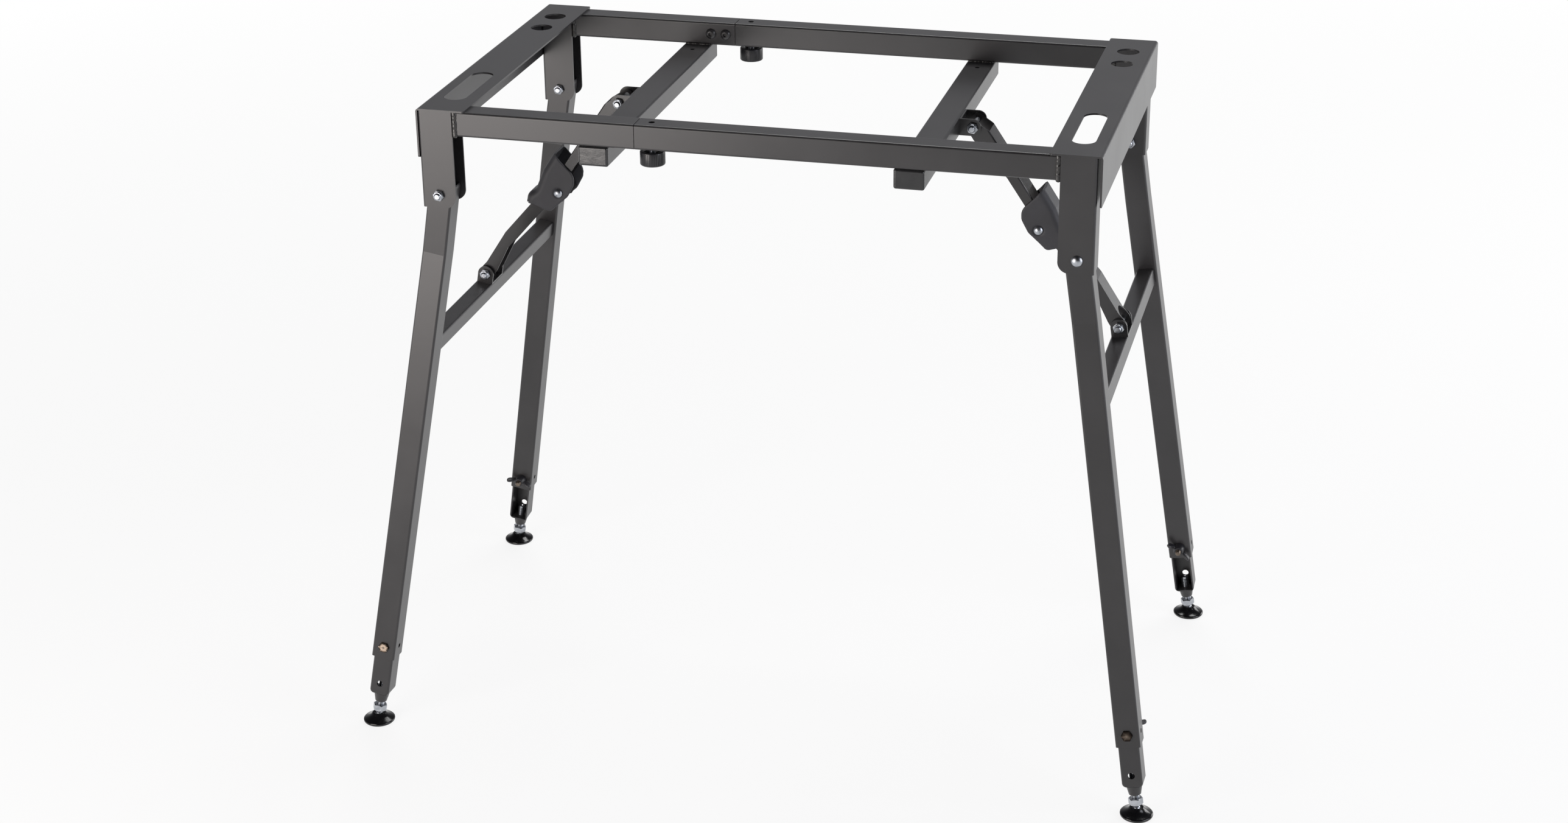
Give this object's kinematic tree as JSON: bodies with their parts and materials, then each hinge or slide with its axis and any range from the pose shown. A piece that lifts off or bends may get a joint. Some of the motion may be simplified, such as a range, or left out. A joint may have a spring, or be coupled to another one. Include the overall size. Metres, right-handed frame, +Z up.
{
  "type": "folding keyboard stand",
  "caption": "Folding steel keyboard stand with two slotted end plates, telescoping top tubes, splayed folding legs with locking braces, and height-adjustable levelling feet.",
  "frame": {"origin": "centre of the stand's footprint on the floor, with the legs open, the width closed and the inner legs at their shortest", "axes": "+X along the width towards the sliding right half, +Y from the front of the stand to its rear, +Z up"},
  "size_m": [0.8482, 0.4808, 0.6818],
  "materials": {
    "frame_paint": "semi-gloss black",
    "brace_paint": "semi-gloss black",
    "zinc_steel": "zinc plated",
    "black_fasteners": "black oxide",
    "black_plastic_caps": "glossy black",
    "grip_plastic": "fine-textured black",
    "knob_plastic": "ribbed black",
    "foot_plastic": "glossy black"
  },
  "bodies": {
    "left_half": {"left_end_plate": "frame_paint", "left_front_bracket": "frame_paint", "left_rear_bracket": "frame_paint", "left_front_tube": "frame_paint", "left_rear_tube": "frame_paint", "front_inner_tube": "frame_paint", "rear_inner_tube": "frame_paint", "inner_tube_screws": "black_fasteners", "left_crossbar": "frame_paint", "left_crossbar_caps": "black_plastic_caps", "left_upper_clevis": "brace_paint", "left_pivot_bolts": "zinc_steel"},
    "right_half": {"right_end_plate": "frame_paint", "right_front_bracket": "frame_paint", "right_rear_bracket": "frame_paint", "right_front_tube": "frame_paint", "right_rear_tube": "frame_paint", "right_crossbar": "frame_paint", "right_crossbar_caps": "black_plastic_caps", "right_upper_clevis": "brace_paint", "right_pivot_bolts": "zinc_steel"},
    "front_knob": {"front_clamp_knob": "knob_plastic"},
    "rear_knob": {"rear_clamp_knob": "knob_plastic"},
    "left_leg_frame": {"left_front_leg": "frame_paint", "left_rear_leg": "frame_paint", "left_leg_crossbar": "frame_paint", "left_lower_clevis": "brace_paint", "left_lower_clevis_bolt": "zinc_steel", "left_height_bolts": "black_fasteners"},
    "left_lower_arm": {"left_lower_link": "brace_paint"},
    "left_upper_arm": {"left_upper_link": "brace_paint", "left_release_grip": "grip_plastic", "left_grip_rivet": "zinc_steel"},
    "left_front_inner": {"left_front_inner_leg": "frame_paint"},
    "left_front_nut": {"left_front_wing_nut": "black_fasteners"},
    "left_front_stud": {"left_front_foot_stud": "zinc_steel"},
    "left_front_disc": {"left_front_foot_disc": "foot_plastic"},
    "left_rear_inner": {"left_rear_inner_leg": "frame_paint"},
    "left_rear_nut": {"left_rear_wing_nut": "black_fasteners"},
    "left_rear_stud": {"left_rear_foot_stud": "zinc_steel"},
    "left_rear_disc": {"left_rear_foot_disc": "foot_plastic"},
    "right_leg_frame": {"right_front_leg": "frame_paint", "right_rear_leg": "frame_paint", "right_leg_crossbar": "frame_paint", "right_lower_clevis": "brace_paint", "right_lower_clevis_bolt": "zinc_steel", "right_height_bolts": "black_fasteners"},
    "right_lower_arm": {"right_lower_link": "brace_paint"},
    "right_upper_arm": {"right_upper_link": "brace_paint", "right_release_grip": "grip_plastic", "right_grip_rivet": "zinc_steel"},
    "right_front_inner": {"right_front_inner_leg": "frame_paint"},
    "right_front_nut": {"right_front_wing_nut": "black_fasteners"},
    "right_front_stud": {"right_front_foot_stud": "zinc_steel"},
    "right_front_disc": {"right_front_foot_disc": "foot_plastic"},
    "right_rear_inner": {"right_rear_inner_leg": "frame_paint"},
    "right_rear_nut": {"right_rear_wing_nut": "black_fasteners"},
    "right_rear_stud": {"right_rear_foot_stud": "zinc_steel"},
    "right_rear_disc": {"right_rear_foot_disc": "foot_plastic"}
  },
  "joints": [
    {"name": "width_slide", "type": "slide", "parent": "left_half", "child": "right_half", "axis": [1, 0, 0], "range_m": [0, 0.25]},
    {"name": "front_knob_turn", "type": "hinge", "parent": "right_half", "child": "front_knob", "pos_m": [-0.09375, -0.1835, 0.652], "axis": [0, 0, 1], "continuous": true},
    {"name": "rear_knob_turn", "type": "hinge", "parent": "right_half", "child": "rear_knob", "pos_m": [-0.09375, 0.1835, 0.652], "axis": [0, 0, 1], "continuous": true},
    {"name": "left_leg_fold", "type": "hinge", "parent": "left_half", "child": "left_leg_frame", "pos_m": [-0.31125, 0, 0.5941], "axis": [0, -1, 0], "range_deg": [0, 104]},
    {"name": "left_lower_link_turn", "type": "hinge", "parent": "left_leg_frame", "child": "left_lower_arm", "pos_m": [-0.33488, -0.008, 0.44487], "axis": [0, -1, 0], "range_deg": [0, 36.39]},
    {"name": "left_upper_link_turn", "type": "hinge", "parent": "left_lower_arm", "child": "left_upper_arm", "pos_m": [-0.24894, -0.008, 0.54222], "axis": [0, -1, 0], "range_deg": [-168.4, 0]},
    {"name": "left_front_height_slide", "type": "slide", "parent": "left_leg_frame", "child": "left_front_inner", "axis": [-0.1611, -0.0755, -0.984], "range_m": [0, 0.27]},
    {"name": "left_front_wing_nut_turn", "type": "hinge", "parent": "left_leg_frame", "child": "left_front_nut", "pos_m": [-0.39356, -0.19963, 0.09149], "axis": [-0.0122, 0.9971, -0.0745], "continuous": true},
    {"name": "left_front_stud_turn", "type": "hinge", "parent": "left_front_inner", "child": "left_front_stud", "pos_m": [-0.40729, -0.22362, 0.0076], "axis": [0.1611, 0.0755, 0.984], "continuous": true},
    {"name": "left_front_disc_swivel", "type": "hinge", "parent": "left_front_inner", "child": "left_front_disc", "pos_m": [-0.40729, -0.22362, 0.0076], "axis": [0, 1, 0], "range_deg": [-10, 10]},
    {"name": "left_rear_height_slide", "type": "slide", "parent": "left_leg_frame", "child": "left_rear_inner", "axis": [-0.1611, 0.0755, -0.984], "range_m": [0, 0.27]},
    {"name": "left_rear_wing_nut_turn", "type": "hinge", "parent": "left_leg_frame", "child": "left_rear_nut", "pos_m": [-0.39356, 0.19963, 0.09149], "axis": [-0.0122, -0.9971, -0.0745], "continuous": true},
    {"name": "left_rear_stud_turn", "type": "hinge", "parent": "left_rear_inner", "child": "left_rear_stud", "pos_m": [-0.40729, 0.22362, 0.0076], "axis": [0.1611, -0.0755, 0.984], "continuous": true},
    {"name": "left_rear_disc_swivel", "type": "hinge", "parent": "left_rear_inner", "child": "left_rear_disc", "pos_m": [-0.40729, 0.22362, 0.0076], "axis": [0, 1, 0], "range_deg": [-10, 10]},
    {"name": "right_leg_fold", "type": "hinge", "parent": "right_half", "child": "right_leg_frame", "pos_m": [0.32305, 0, 0.5781], "axis": [0, 1, 0], "range_deg": [0, 94]},
    {"name": "right_lower_link_turn", "type": "hinge", "parent": "right_leg_frame", "child": "right_lower_arm", "pos_m": [0.34359, -0.008, 0.44513], "axis": [0, 1, 0], "range_deg": [0, 15.88]},
    {"name": "right_upper_link_turn", "type": "hinge", "parent": "right_half", "child": "right_upper_arm", "pos_m": [0.18975, -0.008, 0.645], "axis": [0, 1, 0], "range_deg": [-41.46, 0]},
    {"name": "right_front_height_slide", "type": "slide", "parent": "right_leg_frame", "child": "right_front_inner", "axis": [0.1457, -0.0755, -0.9864], "range_m": [0, 0.27]},
    {"name": "right_front_wing_nut_turn", "type": "hinge", "parent": "right_leg_frame", "child": "right_front_nut", "pos_m": [0.3949, -0.19831, 0.09152], "axis": [0.011, 0.9971, -0.0747], "continuous": true},
    {"name": "right_front_stud_turn", "type": "hinge", "parent": "right_front_inner", "child": "right_front_stud", "pos_m": [0.40729, -0.22228, 0.0076], "axis": [-0.1457, 0.0755, 0.9864], "continuous": true},
    {"name": "right_front_disc_swivel", "type": "hinge", "parent": "right_front_inner", "child": "right_front_disc", "pos_m": [0.40729, -0.22228, 0.0076], "axis": [0, 1, 0], "range_deg": [-10, 10]},
    {"name": "right_rear_height_slide", "type": "slide", "parent": "right_leg_frame", "child": "right_rear_inner", "axis": [0.1457, 0.0755, -0.9864], "range_m": [0, 0.27]},
    {"name": "right_rear_wing_nut_turn", "type": "hinge", "parent": "right_leg_frame", "child": "right_rear_nut", "pos_m": [0.3949, 0.19831, 0.09152], "axis": [0.011, -0.9971, -0.0747], "continuous": true},
    {"name": "right_rear_stud_turn", "type": "hinge", "parent": "right_rear_inner", "child": "right_rear_stud", "pos_m": [0.40729, 0.22228, 0.0076], "axis": [-0.1457, -0.0755, 0.9864], "continuous": true},
    {"name": "right_rear_disc_swivel", "type": "hinge", "parent": "right_rear_inner", "child": "right_rear_disc", "pos_m": [0.40729, 0.22228, 0.0076], "axis": [0, 1, 0], "range_deg": [-10, 10]}
  ],
  "couplings": [
    {"joint": "left_lower_link_turn", "follows": "left_leg_fold", "ratio": 0.34989},
    {"joint": "left_upper_link_turn", "follows": "left_leg_fold", "ratio": -1.6192},
    {"joint": "right_lower_link_turn", "follows": "right_leg_fold", "ratio": 0.16892},
    {"joint": "right_upper_link_turn", "follows": "right_leg_fold", "ratio": -0.44103}
  ]
}
